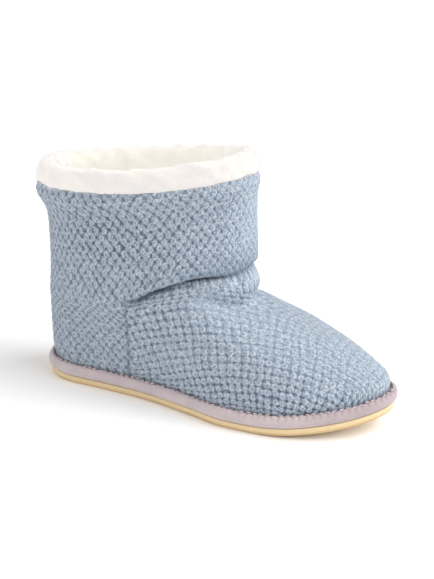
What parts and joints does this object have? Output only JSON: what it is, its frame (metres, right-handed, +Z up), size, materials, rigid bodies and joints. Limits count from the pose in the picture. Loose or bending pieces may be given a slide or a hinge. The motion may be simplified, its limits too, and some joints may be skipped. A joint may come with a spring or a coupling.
{
  "type": "knit slipper boot",
  "caption": "Ankle-high knit slipper boot with a hollow shaft, slouched instep fold, deep plush rim, wrapped rand and thin curved sole.",
  "frame": {"origin": "on the floor under the middle of the sole, at the flat face that the boot rests on", "axes": "-Y towards the toe, +Y towards the heel, -X towards the outer side of the foot, +Z up"},
  "size_m": [0.1014, 0.2685, 0.1783],
  "materials": {
    "outsole": "matt tan sole sheet",
    "midsole": "mauve-grey cloth wrapped over the rand",
    "insole": "cream pile on a soft footbed",
    "upper": "chunky light blue heather knit",
    "fleece_collar": "deep cream plush"
  },
  "bodies": {
    "root": {"outsole": "outsole", "midsole": "midsole", "insole": "insole", "upper": "upper", "fleece_collar": "fleece_collar"}
  },
  "joints": []
}
